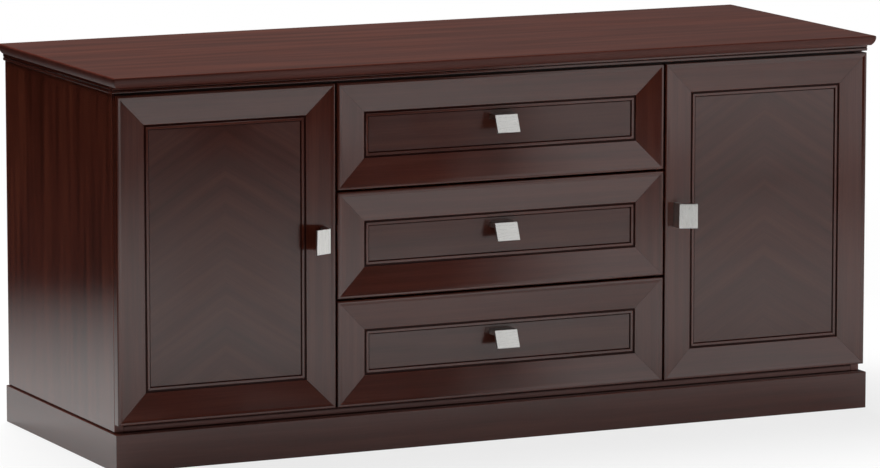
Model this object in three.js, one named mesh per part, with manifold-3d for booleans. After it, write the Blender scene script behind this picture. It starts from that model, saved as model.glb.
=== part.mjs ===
// Office credenza: a cupboard at each end of a bank of three drawers, on a mitred plinth,
// under an overhanging top with a moulding below it. Dark lacquered wood, metal tab pulls.
// Millimetres, +Z up, the fronts face -Y. While it is being built, y = 0 is the front edge
// of the carcass boards and z = 0 is the floor. The last lines centre the whole on its box.
import * as THREE from 'three';
import { mergeVertices } from 'three/addons/utils/BufferGeometryUtils.js';
import Module from 'manifold-3d';

const wasm = await Module();
wasm.setup();

// Carcass
const CARCASS_W = 1600;
const CARCASS_D = 563;
const INNER_H = 622;
const BOARD_T = 18;
const BACK_T = 6;
const DRAWER_BAY_W = 683;

// Plinth, a mitred frame of boards on edge
const PLINTH_H = 73;
const PLINTH_T = 32;
const PLINTH_PROUD_SIDE = 5;
const PLINTH_PROUD_FRONT = 1;

// Top with a rounded edge, and the moulding planted under it
const TOP_T = 19;
const TOP_ROUND = 6;
const TOP_OVER_SIDE = 11;
const TOP_OVER_FRONT = 19;
const TOP_OVER_BACK = 12;
const MOULD_FRONT_T = 14;
const MOULD_SIDE_T = 4;
const MOULD_ABOVE_FRONTS = 2.5;
const MOULD_BEAD_H = 6;
const MOULD_QUIRK = 1.5;
const MOULD_EASE = 2;

// Door and drawer fronts: a mitred frame that dishes inwards to a quirk and a bead round the
// flat panel
const FRONT_T = 20;
const FRONT_STANDOFF = 0.8;
const FRONT_GAP = 4;
const FRONT_OVERLAP = 2;
const FRAME_W = 69.5;
const LIP_W = 6.5;
const LIP_DROP = 1;
const DISH_DROP = 6.2;
const QUIRK_W = 4;
const QUIRK_DROP = 9.5;
const BEAD_W = 8;
const BEAD_DROP = 6.5;
const BEAD_CHAMFER = 1.5;
const PANEL_RECESS = 9;
const PANEL_T = 8;
const PANEL_TONGUE = 6;
const SEAT_GAP = 0.3;
const MITRE_GAP = 0.15;

// Tab pulls: a leg that stands out from the front and a plate that leans away from it
const PULL_L = 48;
const PULL_PLATE = 36;
const PULL_PLATE_T = 4;
const PULL_LEAN = THREE.MathUtils.degToRad(22);
const PULL_STAND = 24;
const PULL_LEG_T = 10;
const DRAWER_PULL_RISE = 26;
const DOOR_PULL_INSET = 20;
const DOOR_PULL_RISE = 15;

// Concealed hinges: a cup let into the back of the door, an arm on the side panel
const CUP_D = 35;
const CUP_DEPTH = 11.5;
const CUP_WALL = 1.2;
const CUP_FROM_EDGE = 22.5;
const HINGE_FROM_END = 100;
const ARM_W = 14;
const ARM_T = 12;
const ARM_OFF = 1;
const ARM_BACK = 60;
const ARM_PLATE_T = 3;
const ARM_PLATE_FRONT = 22;
const ARM_PLATE_L = 50;

// Cupboard shelves
const SHELF_RISE = 300;
const SHELF_SETBACK = 25;

// Drawers: grooved boxes that run on strips
const DRAWER_COUNT = 3;
const BOX_WALL = 15;
const BOX_SIDE_GAP = 1.5;
const BOX_RISE = 20;
const BOX_TOP_GAP = 36;
const BOX_BACK_GAP = 58;
const DRAWER_BOTTOM_T = 6;
const DRAWER_BOTTOM_RISE = 10;
const DRAWER_BOTTOM_TONGUE = 6;
const RUNNER_H = 16;
const RUNNER_RISE = 70;
const RUNNER_ENGAGE = 7;
const RUNNER_START = 16;
const RUNNER_STOP_GAP = 2;
const RUNNER_BACK_GAP = 10;

// Heights and planes that follow from the sizes above
const BOTTOM_Z = PLINTH_H + BOARD_T;
const INNER_TOP_Z = BOTTOM_Z + INNER_H;
const SLAB_Z = INNER_TOP_Z + BOARD_T;
const SIDE_IN = CARCASS_W / 2 - BOARD_T;
const BAY_HALF = DRAWER_BAY_W / 2;
const PARTITION_MID = BAY_HALF + BOARD_T / 2;
const BOARD_BACK = CARCASS_D - BACK_T;
const FRONT_BACK_Y = -FRONT_STANDOFF;
const FRONT_Y = FRONT_BACK_Y - FRONT_T;
const DOOR_W = CARCASS_W / 2 - PARTITION_MID - FRONT_GAP / 2;
const DRAWER_W = 2 * PARTITION_MID - FRONT_GAP;
const FRONTS_Z = BOTTOM_Z - FRONT_OVERLAP;
const FRONTS_H = INNER_H + 2 * FRONT_OVERLAP;
const MOULD_H = SLAB_Z - FRONTS_Z - FRONTS_H - MOULD_ABOVE_FRONTS;
const DRAWER_H = (FRONTS_H - (DRAWER_COUNT - 1) * FRONT_GAP) / DRAWER_COUNT;
const BOX_H = DRAWER_H - BOX_RISE - BOX_TOP_GAP;
const BOX_D = BOARD_BACK - BOX_BACK_GAP - FRONT_BACK_Y;

const FINISHES = {
  lacquer: { color: 0x4a2d27, roughness: 0.35, metalness: 0 },
  veneer: { color: 0x49342f, roughness: 0.4, metalness: 0 },
  board: { color: 0x5a3d31, roughness: 0.6, metalness: 0 },
  beech: { color: 0xb98f63, roughness: 0.6, metalness: 0 },
  nickel: { color: 0xc3c3c1, roughness: 0.3, metalness: 1 },
  steel: { color: 0xa8a8a6, roughness: 0.35, metalness: 1 },
};

const credenza = new THREE.Group();

function piece(parent, name, geometry, finish) {
  const mesh = new THREE.Mesh(geometry, new THREE.MeshStandardMaterial(FINISHES[finish]));
  mesh.name = name;
  parent.add(mesh);
  return mesh;
}

function block([x0, x1], [y0, y1], [z0, z1]) {
  const box = new THREE.BoxGeometry(x1 - x0, y1 - y0, z1 - z0);
  return box.translate((x0 + x1) / 2, (y0 + y1) / 2, (z0 + z1) / 2);
}

// Turns a piece so that its own x and y axes point along the two directions given
const [RIGHT, LEFT] = [new THREE.Vector3(1, 0, 0), new THREE.Vector3(-1, 0, 0)];
const [BACK, FORWARD] = [new THREE.Vector3(0, 1, 0), new THREE.Vector3(0, -1, 0)];
const DOWN = new THREE.Vector3(0, 0, -1);

function turn(mesh, xTo, yTo) {
  const zTo = new THREE.Vector3().crossVectors(xTo, yTo);
  mesh.setRotationFromMatrix(new THREE.Matrix4().makeBasis(xTo, yTo, zTo));
}

function vectors(points) {
  return points.map(([x, y]) => new THREE.Vector2(x, y));
}

function outline(points) {
  return new THREE.Shape(vectors(points));
}

function extrude(points, depth) {
  return new THREE.ExtrudeGeometry(outline(points), { depth, bevelEnabled: false });
}

function solid(geometry) {
  const bare = geometry.clone();
  bare.deleteAttribute('normal');
  bare.deleteAttribute('uv');
  const merged = mergeVertices(bare, 1e-4);
  return new wasm.Manifold(new wasm.Mesh({
    numProp: 3,
    vertProperties: new Float32Array(merged.attributes.position.array),
    triVerts: new Uint32Array(merged.index.array),
  }));
}

function cut(geometry, tools) {
  let body = solid(geometry);
  for (const tool of tools) {
    body = body.subtract(solid(tool));
  }
  const out = body.getMesh();
  const result = new THREE.BufferGeometry();
  result.setAttribute('position', new THREE.BufferAttribute(out.vertProperties, 3));
  result.setIndex(new THREE.BufferAttribute(out.triVerts, 1));
  result.computeVertexNormals();
  return result;
}

// A bar whose section is given across (inwards from the outer edge) and deep (back from the
// face), with both ends mitred at 45 degrees. It runs along z.
function mitredBar(section, length) {
  const bar = extrude(section, length);
  const at = bar.attributes.position;
  for (let i = 0; i < at.count; i += 1) {
    const inset = at.getX(i) + MITRE_GAP;
    at.setZ(i, at.getZ(i) < length / 2 ? inset : length - inset);
  }
  bar.computeVertexNormals();
  return bar;
}

// Four mitred bars round a rectangle that stands in the XZ plane, its lower left corner at
// the group's origin and its depth going back along +Y.
const FRAME_SIDES = [
  { side: 'left', turn: 0, along: 'h', corner: [0, 0] },
  { side: 'top', turn: Math.PI / 2, along: 'w', corner: [0, 1] },
  { side: 'right', turn: Math.PI, along: 'h', corner: [1, 1] },
  { side: 'bottom', turn: -Math.PI / 2, along: 'w', corner: [1, 0] },
];

function mitredFrame(size, section, names, finish, bores = {}) {
  const frame = new THREE.Group();
  for (const { side, turn, along, corner } of FRAME_SIDES) {
    const bar = mitredBar(section, size[along]);
    const geometry = bores[side] ? cut(bar, bores[side]) : bar;
    const mesh = piece(frame, names[side], geometry, finish);
    mesh.rotation.y = turn;
    mesh.position.set(corner[0] * size.w, 0, corner[1] * size.h);
  }
  return frame;
}

// Plinth: four boards on edge, mitred at the corners. The frame is laid flat.
const plinthWide = CARCASS_W + 2 * PLINTH_PROUD_SIDE;
const plinthFrontY = FRONT_Y - PLINTH_PROUD_FRONT;
const plinthDeep = CARCASS_D - plinthFrontY;
const plinth = mitredFrame(
  { w: plinthWide, h: plinthDeep },
  [[0, 0], [PLINTH_T, 0], [PLINTH_T, PLINTH_H], [0, PLINTH_H]],
  { left: 'plinth_left', right: 'plinth_right', top: 'plinth_front', bottom: 'plinth_back' },
  'lacquer',
);
plinth.rotation.x = Math.PI / 2;
plinth.position.set(-plinthWide / 2, CARCASS_D, 0);
credenza.add(plinth);

// Carcass boards
const acrossInside = [-SIDE_IN, SIDE_IN];
const boardDeep = [0, BOARD_BACK];
piece(credenza, 'bottom_panel', block(acrossInside, boardDeep, [PLINTH_H, BOTTOM_Z]), 'board');
piece(credenza, 'carcass_top', block(acrossInside, boardDeep, [INNER_TOP_Z, SLAB_Z]), 'board');
piece(credenza, 'back_panel', block(acrossInside, [BOARD_BACK, CARCASS_D], [PLINTH_H, SLAB_Z]), 'board');
for (const [hand, sign] of [['left', -1], ['right', 1]]) {
  const side = block([-BOARD_T / 2, BOARD_T / 2], [0, CARCASS_D], [PLINTH_H, SLAB_Z]);
  piece(credenza, `side_panel_${hand}`, side, 'lacquer').position.x = sign * (SIDE_IN + BOARD_T / 2);
  const partition = block([-BOARD_T / 2, BOARD_T / 2], boardDeep, [BOTTOM_Z, INNER_TOP_Z]);
  piece(credenza, `partition_${hand}`, partition, 'board').position.x = sign * PARTITION_MID;
}

// Top: a board with its edge rounded above and below
const slabHalf = CARCASS_W / 2 + TOP_OVER_SIDE - TOP_ROUND;
const slabFront = FRONT_Y - TOP_OVER_FRONT + TOP_ROUND;
const slabBack = CARCASS_D + TOP_OVER_BACK - TOP_ROUND;
const slab = new THREE.ExtrudeGeometry(
  outline([[-slabHalf, slabFront], [slabHalf, slabFront], [slabHalf, slabBack], [-slabHalf, slabBack]]),
  {
    depth: TOP_T - 2 * TOP_ROUND,
    bevelThickness: TOP_ROUND,
    bevelSize: TOP_ROUND,
    bevelSegments: 4,
  },
);
piece(credenza, 'top_panel', slab.translate(0, 0, SLAB_Z + TOP_ROUND), 'lacquer');

// Moulding under the top: a strip along the front and one down each side, with a quirk above an
// eased bead. Its section goes in from the outer face along x and down from the top along y.
function mouldingStrip(name, thick, length) {
  const beadTop = MOULD_H - MOULD_BEAD_H;
  const section = [
    [0, 0],
    [thick, 0],
    [thick, MOULD_H],
    [MOULD_EASE, MOULD_H],
    [0, MOULD_H - MOULD_EASE],
    [0, beadTop],
    [MOULD_QUIRK, beadTop],
    [MOULD_QUIRK, beadTop - MOULD_QUIRK],
    [0, beadTop - MOULD_QUIRK],
  ];
  return piece(credenza, name, extrude(section, length), 'lacquer');
}
const mouldHalf = CARCASS_W / 2 + MOULD_SIDE_T;
const mouldFront = mouldingStrip('moulding_front', MOULD_FRONT_T, 2 * mouldHalf);
turn(mouldFront, BACK, DOWN);
mouldFront.position.set(mouldHalf, -MOULD_FRONT_T, SLAB_Z);
const mouldLeft = mouldingStrip('moulding_left', MOULD_SIDE_T, CARCASS_D);
turn(mouldLeft, RIGHT, DOWN);
mouldLeft.position.set(-mouldHalf, 0, SLAB_Z);
const mouldRight = mouldingStrip('moulding_right', MOULD_SIDE_T, CARCASS_D);
turn(mouldRight, LEFT, DOWN);
mouldRight.position.set(mouldHalf, CARCASS_D, SLAB_Z);

// Section of a front's frame: an outer lip, a face that dishes inwards, a quirk, a bead, and the
// groove that holds the panel's tongue
const GROOVE_FACE = PANEL_RECESS - SEAT_GAP;
const GROOVE_BACK = PANEL_RECESS + PANEL_T + SEAT_GAP;
const GROOVE_FLOOR = FRAME_W - PANEL_TONGUE - SEAT_GAP;
const BEAD_AT = FRAME_W - BEAD_W;
const QUIRK_AT = BEAD_AT - QUIRK_W;
const FRAME_SECTION = [
  [0, 0],
  [LIP_W, 0],
  [LIP_W + LIP_DROP, LIP_DROP],
  [QUIRK_AT, DISH_DROP],
  [QUIRK_AT, QUIRK_DROP],
  [BEAD_AT, QUIRK_DROP],
  [BEAD_AT, BEAD_DROP],
  [FRAME_W - BEAD_CHAMFER, BEAD_DROP],
  [FRAME_W, BEAD_DROP + BEAD_CHAMFER],
  [FRAME_W, GROOVE_FACE],
  [GROOVE_FLOOR, GROOVE_FACE],
  [GROOVE_FLOOR, GROOVE_BACK],
  [FRAME_W, GROOVE_BACK],
  [FRAME_W, FRONT_T],
  [0, FRONT_T],
];

function dishDepth(across) {
  const start = LIP_W + LIP_DROP;
  return LIP_DROP + ((DISH_DROP - LIP_DROP) * (across - start)) / (QUIRK_AT - start);
}

function frontPanel(size) {
  const edge = FRAME_W - PANEL_TONGUE;
  return block([edge, size.w - edge], [PANEL_RECESS, PANEL_RECESS + PANEL_T], [edge, size.h - edge]);
}

// A pull's section: x goes from the leg's outer face towards the plate's free edge, y goes out
// from the seat. The foot follows a seat that falls away by seatDrop over the leg's thickness.
const PULL_RUN = PULL_PLATE * Math.cos(PULL_LEAN);
const PULL_REACH = PULL_STAND + PULL_PLATE * Math.sin(PULL_LEAN);
const plateBackX = PULL_PLATE_T * Math.sin(PULL_LEAN);
const plateBackY = PULL_PLATE_T * Math.cos(PULL_LEAN);
const legMeetsPlate = PULL_STAND - plateBackY + (PULL_LEG_T - plateBackX) * Math.tan(PULL_LEAN);

function pullGeometry(seatDrop) {
  const section = [
    [0, 0],
    [PULL_LEG_T, -seatDrop],
    [PULL_LEG_T, legMeetsPlate],
    [PULL_RUN + plateBackX, PULL_REACH - plateBackY],
    [PULL_RUN, PULL_REACH],
    [0, PULL_STAND],
  ];
  return extrude(section, PULL_L).translate(0, 0, -PULL_L / 2);
}

// Hinge cups, in the outer stile's own frame: x across, y back from the face, z along
const CUP_SIDES = 32;

function hingePlaces(height) {
  return { lower: HINGE_FROM_END, upper: height - HINGE_FROM_END };
}

function cupGeometry() {
  const outer = CUP_D / 2;
  const inner = outer - CUP_WALL;
  const floor = FRONT_T - CUP_DEPTH;
  const profile = vectors([
    [0, floor],
    [outer, floor],
    [outer, FRONT_T],
    [inner, FRONT_T],
    [inner, floor + CUP_WALL],
    [0, floor + CUP_WALL],
  ]);
  return new THREE.LatheGeometry(profile, CUP_SIDES);
}

function cupBore() {
  const deep = CUP_DEPTH + SEAT_GAP;
  const past = 1;
  const radius = CUP_D / 2 + SEAT_GAP;
  const bore = new THREE.CylinderGeometry(radius, radius, deep + past, CUP_SIDES);
  return bore.translate(0, FRONT_T + past - (deep + past) / 2, 0);
}

// Doors, built with the lower left corner at the group's origin
function door(hand, sign) {
  const size = { w: DOOR_W, h: FRONTS_H };
  const outer = sign < 0 ? 'left' : 'right';
  const inner = sign < 0 ? 'right' : 'left';
  const names = {
    [outer]: `${hand}_door_hinge_stile`,
    [inner]: `${hand}_door_meeting_stile`,
    top: `${hand}_door_top_rail`,
    bottom: `${hand}_door_bottom_rail`,
  };
  const places = Object.entries(hingePlaces(size.h));
  const bores = { [outer]: places.map(([, z]) => cupBore().translate(CUP_FROM_EDGE, 0, z)) };
  const group = mitredFrame(size, FRAME_SECTION, names, 'lacquer', bores);
  piece(group, `${hand}_door_panel`, frontPanel(size), 'veneer');

  for (const [level, z] of places) {
    const cup = piece(group, `${hand}_door_hinge_cup_${level}`, cupGeometry(), 'steel');
    cup.position.set(sign < 0 ? CUP_FROM_EDGE : size.w - CUP_FROM_EDGE, 0, z);
  }

  const seat = dishDepth(DOOR_PULL_INSET);
  const seatDrop = dishDepth(DOOR_PULL_INSET + PULL_LEG_T) - seat;
  const pull = piece(group, `${hand}_door_pull`, pullGeometry(seatDrop), 'nickel');
  turn(pull, sign < 0 ? LEFT : RIGHT, FORWARD);
  const pullX = sign < 0 ? size.w - DOOR_PULL_INSET : DOOR_PULL_INSET;
  pull.position.set(pullX, seat, size.h / 2 + DOOR_PULL_RISE);

  group.position.set(sign < 0 ? -CARCASS_W / 2 : CARCASS_W / 2 - size.w, FRONT_Y, FRONTS_Z);
  credenza.add(group);
}
door('left', -1);
door('right', 1);

// Hinge arms: one for each cup, screwed to the side panel, its nose in the cup
function armGeometry() {
  const nose = FRONT_STANDOFF + CUP_DEPTH - CUP_WALL - SEAT_GAP;
  const section = [
    [ARM_OFF, -nose],
    [ARM_OFF + ARM_T, -nose],
    [ARM_OFF + ARM_T, ARM_BACK],
    [ARM_PLATE_T, ARM_BACK],
    [ARM_PLATE_T, ARM_PLATE_FRONT + ARM_PLATE_L],
    [0, ARM_PLATE_FRONT + ARM_PLATE_L],
    [0, ARM_PLATE_FRONT],
    [ARM_OFF, ARM_PLATE_FRONT],
  ];
  return extrude(section, ARM_W).translate(0, 0, -ARM_W / 2);
}
for (const [level, z] of Object.entries(hingePlaces(FRONTS_H))) {
  for (const [hand, sign] of [['left', -1], ['right', 1]]) {
    const arm = piece(credenza, `hinge_arm_${hand}_${level}`, armGeometry(), 'steel');
    arm.rotation.y = sign < 0 ? 0 : Math.PI;
    arm.position.set(sign * SIDE_IN, 0, FRONTS_Z + z);
  }
}

// Shelves, fixed between the side panels and the partitions
const shelfZ = BOTTOM_Z + SHELF_RISE;
const cupboardIn = PARTITION_MID + BOARD_T / 2;
for (const [hand, sign] of [['left', -1], ['right', 1]]) {
  const ends = [sign * cupboardIn, sign * SIDE_IN].sort((a, b) => a - b);
  const shelf = block(ends, [SHELF_SETBACK, BOARD_BACK], [shelfZ, shelfZ + BOARD_T]);
  piece(credenza, `shelf_${hand}`, shelf, 'board');
}

// Drawers, built with the front's lower left corner at the group's origin
const boxW = DRAWER_BAY_W - 2 * BOX_SIDE_GAP;
const boxX = (DRAWER_W - boxW) / 2;

// A pocket cut into a front's face: its walls go from one inset and depth to another
function pocket(size, [rimInset, rimDepth], [floorInset, floorDepth]) {
  const [x0, x1] = [floorInset, size.w - floorInset];
  const [z0, z1] = [floorInset, size.h - floorInset];
  const tool = new THREE.ExtrudeGeometry(
    outline([[x0, z0], [x1, z0], [x1, z1], [x0, z1]]),
    {
      depth: 1,
      bevelThickness: floorDepth - rimDepth,
      bevelSize: floorInset - rimInset,
      bevelSegments: 1,
    },
  );
  return tool.rotateX(Math.PI / 2).translate(0, rimDepth, 0);
}

// A drawer front's frame, mitred and glued up, with the same section as the doors' frames
function drawerFrame(size) {
  const window = (inset, deep) => block([inset, size.w - inset], deep, [inset, size.h - inset]);
  const [, lip, dishRim, dishFloor, , , , beadRim, beadFoot] = FRAME_SECTION;
  const quirk = cut(window(QUIRK_AT, [LIP_DROP, QUIRK_DROP]), [
    window(BEAD_AT, [0, QUIRK_DROP + 1]),
  ]);
  return cut(window(0, [0, FRONT_T]), [
    pocket(size, lip, dishRim),
    pocket(size, dishRim, dishFloor),
    window(QUIRK_AT, [LIP_DROP, BEAD_DROP]),
    quirk,
    pocket(size, beadRim, beadFoot),
    window(FRAME_W, [0, FRONT_T + 1]),
    window(GROOVE_FLOOR, [GROOVE_FACE, GROOVE_BACK]),
  ]);
}

function drawerBox(runnerFront) {
  const wide = [boxX, boxX + boxW];
  const deep = [FRONT_T, FRONT_T + BOX_D];
  const inside = block(
    [wide[0] + BOX_WALL, wide[1] - BOX_WALL],
    [deep[0] + BOX_WALL, deep[1] - BOX_WALL],
    [BOX_RISE - 1, BOX_RISE + BOX_H + 1],
  );
  const tongue = DRAWER_BOTTOM_TONGUE + SEAT_GAP;
  const bottomZ = BOX_RISE + DRAWER_BOTTOM_RISE;
  const bottomGroove = block(
    [wide[0] + BOX_WALL - tongue, wide[1] - BOX_WALL + tongue],
    [deep[0] + BOX_WALL - tongue, deep[1] - BOX_WALL + tongue],
    [bottomZ, bottomZ + DRAWER_BOTTOM_T + SEAT_GAP],
  );
  const grooveDeep = RUNNER_ENGAGE + SEAT_GAP;
  const grooveZ = BOX_RISE + RUNNER_RISE - SEAT_GAP;
  const grooveHigh = [grooveZ, grooveZ + RUNNER_H + 2 * SEAT_GAP];
  const grooveLong = [runnerFront - RUNNER_STOP_GAP, deep[1] + 1];
  const grooves = [
    block([wide[0] - 1, wide[0] + grooveDeep], grooveLong, grooveHigh),
    block([wide[1] - grooveDeep, wide[1] + 1], grooveLong, grooveHigh),
  ];
  const whole = block(wide, deep, [BOX_RISE, BOX_RISE + BOX_H]);
  return cut(whole, [inside, bottomGroove, ...grooves]);
}

function drawerBottom() {
  const inset = BOX_WALL - DRAWER_BOTTOM_TONGUE;
  const z = BOX_RISE + DRAWER_BOTTOM_RISE;
  return block(
    [boxX + inset, boxX + boxW - inset],
    [FRONT_T + inset, FRONT_T + BOX_D - inset],
    [z, z + DRAWER_BOTTOM_T],
  );
}

for (let i = 1; i <= DRAWER_COUNT; i += 1) {
  const name = `drawer_${i}`;
  const size = { w: DRAWER_W, h: DRAWER_H };
  const group = new THREE.Group();
  piece(group, `${name}_frame`, drawerFrame(size), 'lacquer');
  piece(group, `${name}_panel`, frontPanel(size), 'veneer');
  piece(group, `${name}_box`, drawerBox(RUNNER_START - FRONT_Y), 'beech');
  piece(group, `${name}_bottom`, drawerBottom(), 'beech');

  const pull = piece(group, `${name}_pull`, pullGeometry(0), 'nickel');
  turn(pull, DOWN, FORWARD);
  pull.position.set(size.w / 2, PANEL_RECESS, size.h / 2 + DRAWER_PULL_RISE);

  const z = FRONTS_Z + FRONTS_H - i * DRAWER_H - (i - 1) * FRONT_GAP;
  group.position.set(-DRAWER_W / 2, FRONT_Y, z);
  credenza.add(group);

  const runnerZ = [z + BOX_RISE + RUNNER_RISE, z + BOX_RISE + RUNNER_RISE + RUNNER_H];
  const runnerY = [RUNNER_START, BOARD_BACK - RUNNER_BACK_GAP];
  const reach = BOX_SIDE_GAP + RUNNER_ENGAGE;
  piece(credenza, `runner_${i}_left`, block([-BAY_HALF, reach - BAY_HALF], runnerY, runnerZ), 'beech');
  piece(credenza, `runner_${i}_right`, block([BAY_HALF - reach, BAY_HALF], runnerY, runnerZ), 'beech');
}

// Centre the object on its box, front to back
credenza.updateMatrixWorld(true);
const whole = new THREE.Box3().setFromObject(credenza, true);
credenza.position.y = -(whole.min.y + whole.max.y) / 2;

export default credenza;
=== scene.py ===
import math
import random

import bmesh
import bpy
from mathutils import Matrix, Vector


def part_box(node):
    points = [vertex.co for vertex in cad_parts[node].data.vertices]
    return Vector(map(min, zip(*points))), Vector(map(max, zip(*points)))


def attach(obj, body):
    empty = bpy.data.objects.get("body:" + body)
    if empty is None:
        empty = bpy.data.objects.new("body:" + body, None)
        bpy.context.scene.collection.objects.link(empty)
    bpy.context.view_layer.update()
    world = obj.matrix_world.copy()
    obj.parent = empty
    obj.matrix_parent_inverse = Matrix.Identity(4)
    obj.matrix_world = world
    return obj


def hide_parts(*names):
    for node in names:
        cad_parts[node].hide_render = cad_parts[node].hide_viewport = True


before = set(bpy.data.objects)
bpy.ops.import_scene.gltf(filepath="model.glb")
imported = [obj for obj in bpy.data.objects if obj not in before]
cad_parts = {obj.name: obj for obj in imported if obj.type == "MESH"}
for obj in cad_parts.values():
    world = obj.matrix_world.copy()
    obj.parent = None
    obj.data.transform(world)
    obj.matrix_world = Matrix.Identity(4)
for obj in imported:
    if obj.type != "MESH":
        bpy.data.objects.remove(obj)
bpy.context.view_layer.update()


# Plinth. Four mahogany boards on edge, mitred and glued at the corners, stained dark and
# sprayed with satin lacquer. The carcass stands on it, and it shows a little at the front.
MM = 0.001
RIGHT, BACK, UP = Vector((1, 0, 0)), Vector((0, 1, 0)), Vector((0, 0, 1))
MITRE_GAP = 0.15 * MM
PLINTH_EASE, HIDDEN_EASE = 1.5, 0.5


def linear(colour):
    """An sRGB hex colour as the linear one that a shader takes."""
    shares = [int(colour[i:i + 2], 16) / 255 for i in (1, 3, 5)]
    bent = [share / 12.92 if share <= 0.04045 else ((share + 0.055) / 1.055) ** 2.4
            for share in shares]
    return (*bent, 1.0)


def add(tree, kind, feeds=None, **settings):
    """Add a node. Each of its inputs in feeds gets a value, another node's output, or another
    node, which stands for its first output."""
    made = tree.nodes.new(kind)
    for setting, value in settings.items():
        setattr(made, setting, value)
    for socket, source in (feeds or {}).items():
        if isinstance(source, bpy.types.Node):
            source = source.outputs[0]
        if isinstance(source, bpy.types.NodeSocket):
            tree.links.new(source, made.inputs[socket])
        else:
            made.inputs[socket].default_value = source
    return made


def blank(name):
    """A new material, with nothing in its tree."""
    finish = bpy.data.materials.new(name)
    finish.use_nodes = True
    finish.node_tree.nodes.clear()
    return finish


def streak(tree, grain, long, wide, detail):
    """Noise drawn out along the grain, in streaks about this long and this wide."""
    drawn = add(tree, "ShaderNodeMapping", {
        "Vector": grain, "Scale": (1 / long, 1 / wide, 1 / wide)})
    return add(tree, "ShaderNodeTexNoise", {
        "Vector": drawn, "Scale": 1.0, "Detail": detail})


# A Mix node's sockets by place: its factor, its two colours, and the colour that comes out.
MIX_BY, MIX_FROM, MIX_TO, MIXED = 0, 6, 7, 2


def stops(ramp, *colours):
    """Give a colour ramp these stops, each a place and an sRGB hex colour."""
    elements = ramp.color_ramp.elements
    while len(elements) < len(colours):
        elements.new(1.0)
    for element, (place, colour) in zip(elements, colours):
        element.position = place
        element.color = linear(colour)


def mahogany(name, ribbon_wide, deep, middle, bright, sheen, coat, open_pores, gloss=0.5,
             painted_shade=False):
    """Mahogany under satin lacquer: soft ribbons along the grain, fine fibres, short pores and
    an even sheen over all of it. A mark above 0 is an arris painted slightly paler: partly
    rubbed wear, partly a painted highlight. Where a piece takes painted shade, a mark below 0
    is a corner darkened and dulled with painted shade."""
    finish = blank(name)
    tree = finish.node_tree
    grain = add(tree, "ShaderNodeAttribute", attribute_name="grain").outputs["Vector"]
    wear_and_painted_light = add(tree, "ShaderNodeAttribute", attribute_name="wear_and_painted_light").outputs["Fac"]
    # Real fibres are 0.2 mm wide and pores 0.1 mm; both are drawn coarser so that they show.
    ribbon = streak(tree, grain, 420 * MM, ribbon_wide, 4.0)
    fibre = streak(tree, grain, 90 * MM, 2.2 * MM, 3.0)
    pore = streak(tree, grain, 11 * MM, 0.7 * MM, 1.0)
    haze = streak(tree, grain, 160 * MM, 120 * MM, 2.0)
    figure = add(tree, "ShaderNodeMath", {0: fibre, 1: 0.45, 2: ribbon}, operation="MULTIPLY_ADD")
    colour = add(tree, "ShaderNodeValToRGB", {"Fac": figure})
    stops(colour, (0.52, deep), (0.72, middle), (0.93, bright))
    pores = add(tree, "ShaderNodeMapRange", {
        "Value": pore, "From Min": 0.60, "From Max": 0.72, "To Max": 0.6 * open_pores})
    pored = add(tree, "ShaderNodeMix", {
        MIX_BY: pores, MIX_FROM: colour, MIX_TO: linear("#180A08")}, data_type="RGBA")
    # The paler arris is partly rubbed wear and partly a painted highlight.
    rubbed_and_lit = add(tree, "ShaderNodeMath", {0: wear_and_painted_light, 1: haze}, operation="MULTIPLY")
    wear_and_light = add(tree, "ShaderNodeMix", {
        MIX_BY: rubbed_and_lit, MIX_FROM: pored.outputs[MIXED], MIX_TO: linear("#6B4038")},
        data_type="RGBA")
    polish = add(tree, "ShaderNodeMapRange", {
        "Value": haze, "From Min": 0.3, "From Max": 0.7,
        "To Min": sheen - 0.03, "To Max": sheen + 0.04})
    relief = add(tree, "ShaderNodeMath", {0: pores, 1: -1.2, 2: fibre}, operation="MULTIPLY_ADD")
    bump = add(tree, "ShaderNodeBump", {
        "Height": relief, "Strength": 0.12 * open_pores, "Distance": 0.15 * MM})
    skin = add(tree, "ShaderNodeBsdfPrincipled", {
        "Base Color": wear_and_light.outputs[MIXED], "Roughness": polish, "IOR": 1.52,
        "Specular IOR Level": gloss, "Coat Weight": coat, "Coat Roughness": 0.15, "Normal": bump})
    # Painted shade: corners marked below 0 are darkened towards a deep brown and lose their gloss
    # and coat.
    if painted_shade:
        painted_shade_share = add(tree, "ShaderNodeMath", {
            0: wear_and_painted_light, 1: -0.9}, operation="MULTIPLY", use_clamp=True)
        painted_shade_colour = add(tree, "ShaderNodeMix", {
            MIX_BY: painted_shade_share, MIX_FROM: wear_and_light.outputs[MIXED], MIX_TO: linear("#240D09")},
            data_type="RGBA")
        tree.links.new(painted_shade_colour.outputs[MIXED], skin.inputs["Base Color"])
        for socket, full in (("Specular IOR Level", gloss), ("Coat Weight", coat)):
            if full:
                dulled = add(tree, "ShaderNodeMath", {
                    0: painted_shade_share, 1: -full, 2: full}, operation="MULTIPLY_ADD")
                tree.links.new(dulled.outputs[0], skin.inputs[socket])
    add(tree, "ShaderNodeOutputMaterial", {"Surface": skin})
    return finish


# Straight-grained solid wood: narrow, dark ribbons with a soft shine on them, and painted shade
# in its marked corners.
mahogany_solid = mahogany("lacquered_mahogany", 16 * MM, "#3E1A0F", "#461D13", "#4E2419", 0.125,
                          coat=0.1, open_pores=0.3, painted_shade=True)


# This value, as a corner's radius or as a mark, stands for painted shade: a sharp corner darkened
# as if shade fell in it.
PAINTED_SHADE_MARK = -1
# Arrises rounded to this radius or less, in millimetres, are painted paler: rubbed wear and a
# painted highlight.
NARROW_ARRIS = 1.5


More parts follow.
